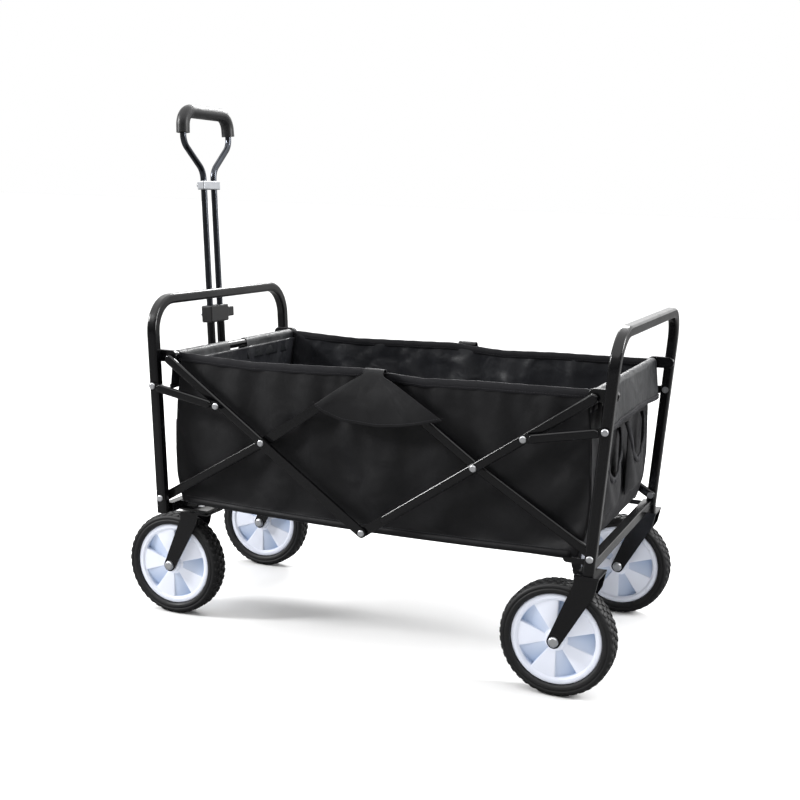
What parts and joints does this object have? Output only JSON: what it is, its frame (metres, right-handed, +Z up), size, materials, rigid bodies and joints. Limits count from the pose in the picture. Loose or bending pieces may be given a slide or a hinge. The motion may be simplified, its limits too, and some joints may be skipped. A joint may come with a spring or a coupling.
{
  "type": "folding camp wagon",
  "caption": "Folding wagon with a fabric basket on a scissor frame, fixed rear wheels, swivel front casters and a telescoping pull handle.",
  "frame": {"origin": "on the ground under the middle of the bounding box", "axes": "+Z up, -X towards the handle end, +X towards the fixed wheels, -Y is the wagon's left"},
  "size_m": [0.987, 0.5412, 0.9855],
  "materials": {
    "black_frame": "gloss powder coat",
    "fastener_steel": "zinc plated",
    "tyre_rubber": "moulded",
    "rim_plastic": "moulded",
    "basket_fabric": "woven polyester",
    "floor_pad": "coated fabric over board",
    "black_plastic": "moulded"
  },
  "bodies": {
    "rear_frame": {"rear_bow": "black_frame", "rear_crossbar": "black_frame", "rear_rim_tube": "black_frame", "rear_brackets": "black_frame", "rear_leg_rivets": "fastener_steel", "rear_end_panel": "basket_fabric", "rear_end_pockets": "basket_fabric", "rear_end_flap": "basket_fabric", "rear_forks": "black_frame", "rear_axles": "fastener_steel", "side_panel_left": "basket_fabric", "side_panel_right": "basket_fabric", "centre_flaps": "basket_fabric"},
    "rear_left_wheel": {"rear_left_tyre": "tyre_rubber", "rear_left_rim": "rim_plastic"},
    "rear_right_wheel": {"rear_right_tyre": "tyre_rubber", "rear_right_rim": "rim_plastic"},
    "rise_rear": {"rear_rise_bars": "black_frame", "rear_rise_rivets": "fastener_steel"},
    "drop_rear": {"rear_drop_bars": "black_frame", "drop_bar_rivets": "fastener_steel"},
    "rise_front": {"front_rise_bars": "black_frame", "front_rise_rivets": "fastener_steel"},
    "drop_front": {"front_drop_bars": "black_frame"},
    "links_rear": {"rear_links": "black_frame", "rear_link_rivets": "fastener_steel"},
    "links_front": {"front_links": "black_frame", "front_link_rivets": "fastener_steel"},
    "floor_rear": {"rear_bottom_rails": "black_frame", "rear_floor_board": "floor_pad", "pull_strap": "basket_fabric"},
    "floor_front": {"front_bottom_rails": "black_frame", "front_floor_board": "floor_pad"},
    "front_frame": {"front_bow": "black_frame", "front_crossbar": "black_frame", "front_rim_tube": "black_frame", "front_brackets": "black_frame", "front_leg_rivets": "fastener_steel", "front_end_panel": "basket_fabric", "front_end_pockets": "basket_fabric", "front_end_flap": "basket_fabric", "caster_plates": "black_frame", "handle_bracket": "black_frame", "handle_pin": "fastener_steel"},
    "left_caster": {"left_caster_fork": "black_frame", "left_caster_bolts": "fastener_steel"},
    "right_caster": {"right_caster_fork": "black_frame", "right_caster_bolts": "fastener_steel"},
    "left_caster_wheel": {"left_caster_tyre": "tyre_rubber", "left_caster_rim": "rim_plastic"},
    "right_caster_wheel": {"right_caster_tyre": "tyre_rubber", "right_caster_rim": "rim_plastic"},
    "handle_lower": {"handle_outer_tubes": "black_frame", "handle_clamp": "black_plastic"},
    "lever": {"clamp_lever": "black_plastic"},
    "handle_upper": {"handle_loop": "black_frame", "handle_upper_bracket": "black_plastic", "handle_grip": "black_plastic", "handle_grip_screws": "fastener_steel"}
  },
  "joints": [
    {"name": "fold", "type": "hinge", "parent": "rear_frame", "child": "rise_rear", "pos_m": [0.4455, 0, 0.248], "axis": [0, 1, 0], "range_deg": [0, 43], "deforming": ["side_panel_left", "side_panel_right", "centre_flaps"]},
    {"name": "fold_drop_rear", "type": "hinge", "parent": "rise_rear", "child": "drop_rear", "pos_m": [0.2365, 0, 0.3745], "axis": [0, 1, 0], "range_deg": [-86, 0]},
    {"name": "fold_rise_front", "type": "hinge", "parent": "rise_rear", "child": "rise_front", "pos_m": [0.0335, 0, 0.515], "axis": [0, 1, 0], "range_deg": [-86, 0]},
    {"name": "fold_drop_front", "type": "hinge", "parent": "rise_front", "child": "drop_front", "pos_m": [-0.1695, 0, 0.3745], "axis": [0, 1, 0], "range_deg": [0, 86]},
    {"name": "fold_front_frame", "type": "hinge", "parent": "rise_front", "child": "front_frame", "pos_m": [-0.3785, 0, 0.248], "axis": [0, 1, 0], "range_deg": [0, 43]},
    {"name": "fold_links_rear", "type": "hinge", "parent": "rear_frame", "child": "links_rear", "pos_m": [0.45927, 0, 0.461], "axis": [0, 1, 0], "range_deg": [0, 72.67]},
    {"name": "fold_links_front", "type": "hinge", "parent": "front_frame", "child": "links_front", "pos_m": [-0.39227, 0, 0.461], "axis": [0, 1, 0], "range_deg": [-72.67, 0]},
    {"name": "fold_floor_rear", "type": "hinge", "parent": "rear_frame", "child": "floor_rear", "pos_m": [0.3995, 0, 0.236], "axis": [0, 1, 0], "range_deg": [0, 88.15]},
    {"name": "fold_floor_front", "type": "hinge", "parent": "front_frame", "child": "floor_front", "pos_m": [-0.3325, 0, 0.236], "axis": [0, 1, 0], "range_deg": [-88.15, 0]},
    {"name": "rear_left_spin", "type": "hinge", "parent": "rear_frame", "child": "rear_left_wheel", "pos_m": [0.3935, -0.236, 0.1], "axis": [0, 1, 0], "continuous": true},
    {"name": "rear_right_spin", "type": "hinge", "parent": "rear_frame", "child": "rear_right_wheel", "pos_m": [0.3935, 0.236, 0.1], "axis": [0, 1, 0], "continuous": true},
    {"name": "left_caster_swivel", "type": "hinge", "parent": "front_frame", "child": "left_caster", "pos_m": [-0.3395, -0.178, 0.21], "axis": [0, 0, 1], "continuous": true},
    {"name": "right_caster_swivel", "type": "hinge", "parent": "front_frame", "child": "right_caster", "pos_m": [-0.3395, 0.178, 0.21], "axis": [0, 0, 1], "continuous": true},
    {"name": "left_caster_spin", "type": "hinge", "parent": "left_caster", "child": "left_caster_wheel", "pos_m": [-0.3935, -0.178, 0.1], "axis": [0, 1, 0], "continuous": true},
    {"name": "right_caster_spin", "type": "hinge", "parent": "right_caster", "child": "right_caster_wheel", "pos_m": [-0.3935, 0.178, 0.1], "axis": [0, 1, 0], "continuous": true},
    {"name": "handle_swing", "type": "hinge", "parent": "front_frame", "child": "handle_lower", "pos_m": [-0.39737, 0, 0.246], "axis": [0, -1, 0], "range_deg": [0, 90]},
    {"name": "handle_slide", "type": "slide", "parent": "handle_lower", "child": "handle_upper", "axis": [0.0645, 0, -0.9979], "range_m": [0, 0.2]},
    {"name": "clamp_lever", "type": "hinge", "parent": "handle_lower", "child": "lever", "pos_m": [-0.4186, 0.039, 0.57431], "axis": [-0.0645, 0, 0.9979], "range_deg": [0, 80]}
  ],
  "couplings": [
    {"joint": "fold_drop_rear", "follows": "fold", "ratio": -2},
    {"joint": "fold_rise_front", "follows": "fold", "ratio": -2},
    {"joint": "fold_drop_front", "follows": "fold", "ratio": 2},
    {"joint": "fold_front_frame", "follows": "fold", "ratio": 1},
    {"joint": "fold_links_rear", "follows": "fold", "ratio": 1.69},
    {"joint": "fold_links_front", "follows": "fold", "ratio": -1.69},
    {"joint": "fold_floor_rear", "follows": "fold", "ratio": 2.05},
    {"joint": "fold_floor_front", "follows": "fold", "ratio": -2.05}
  ]
}
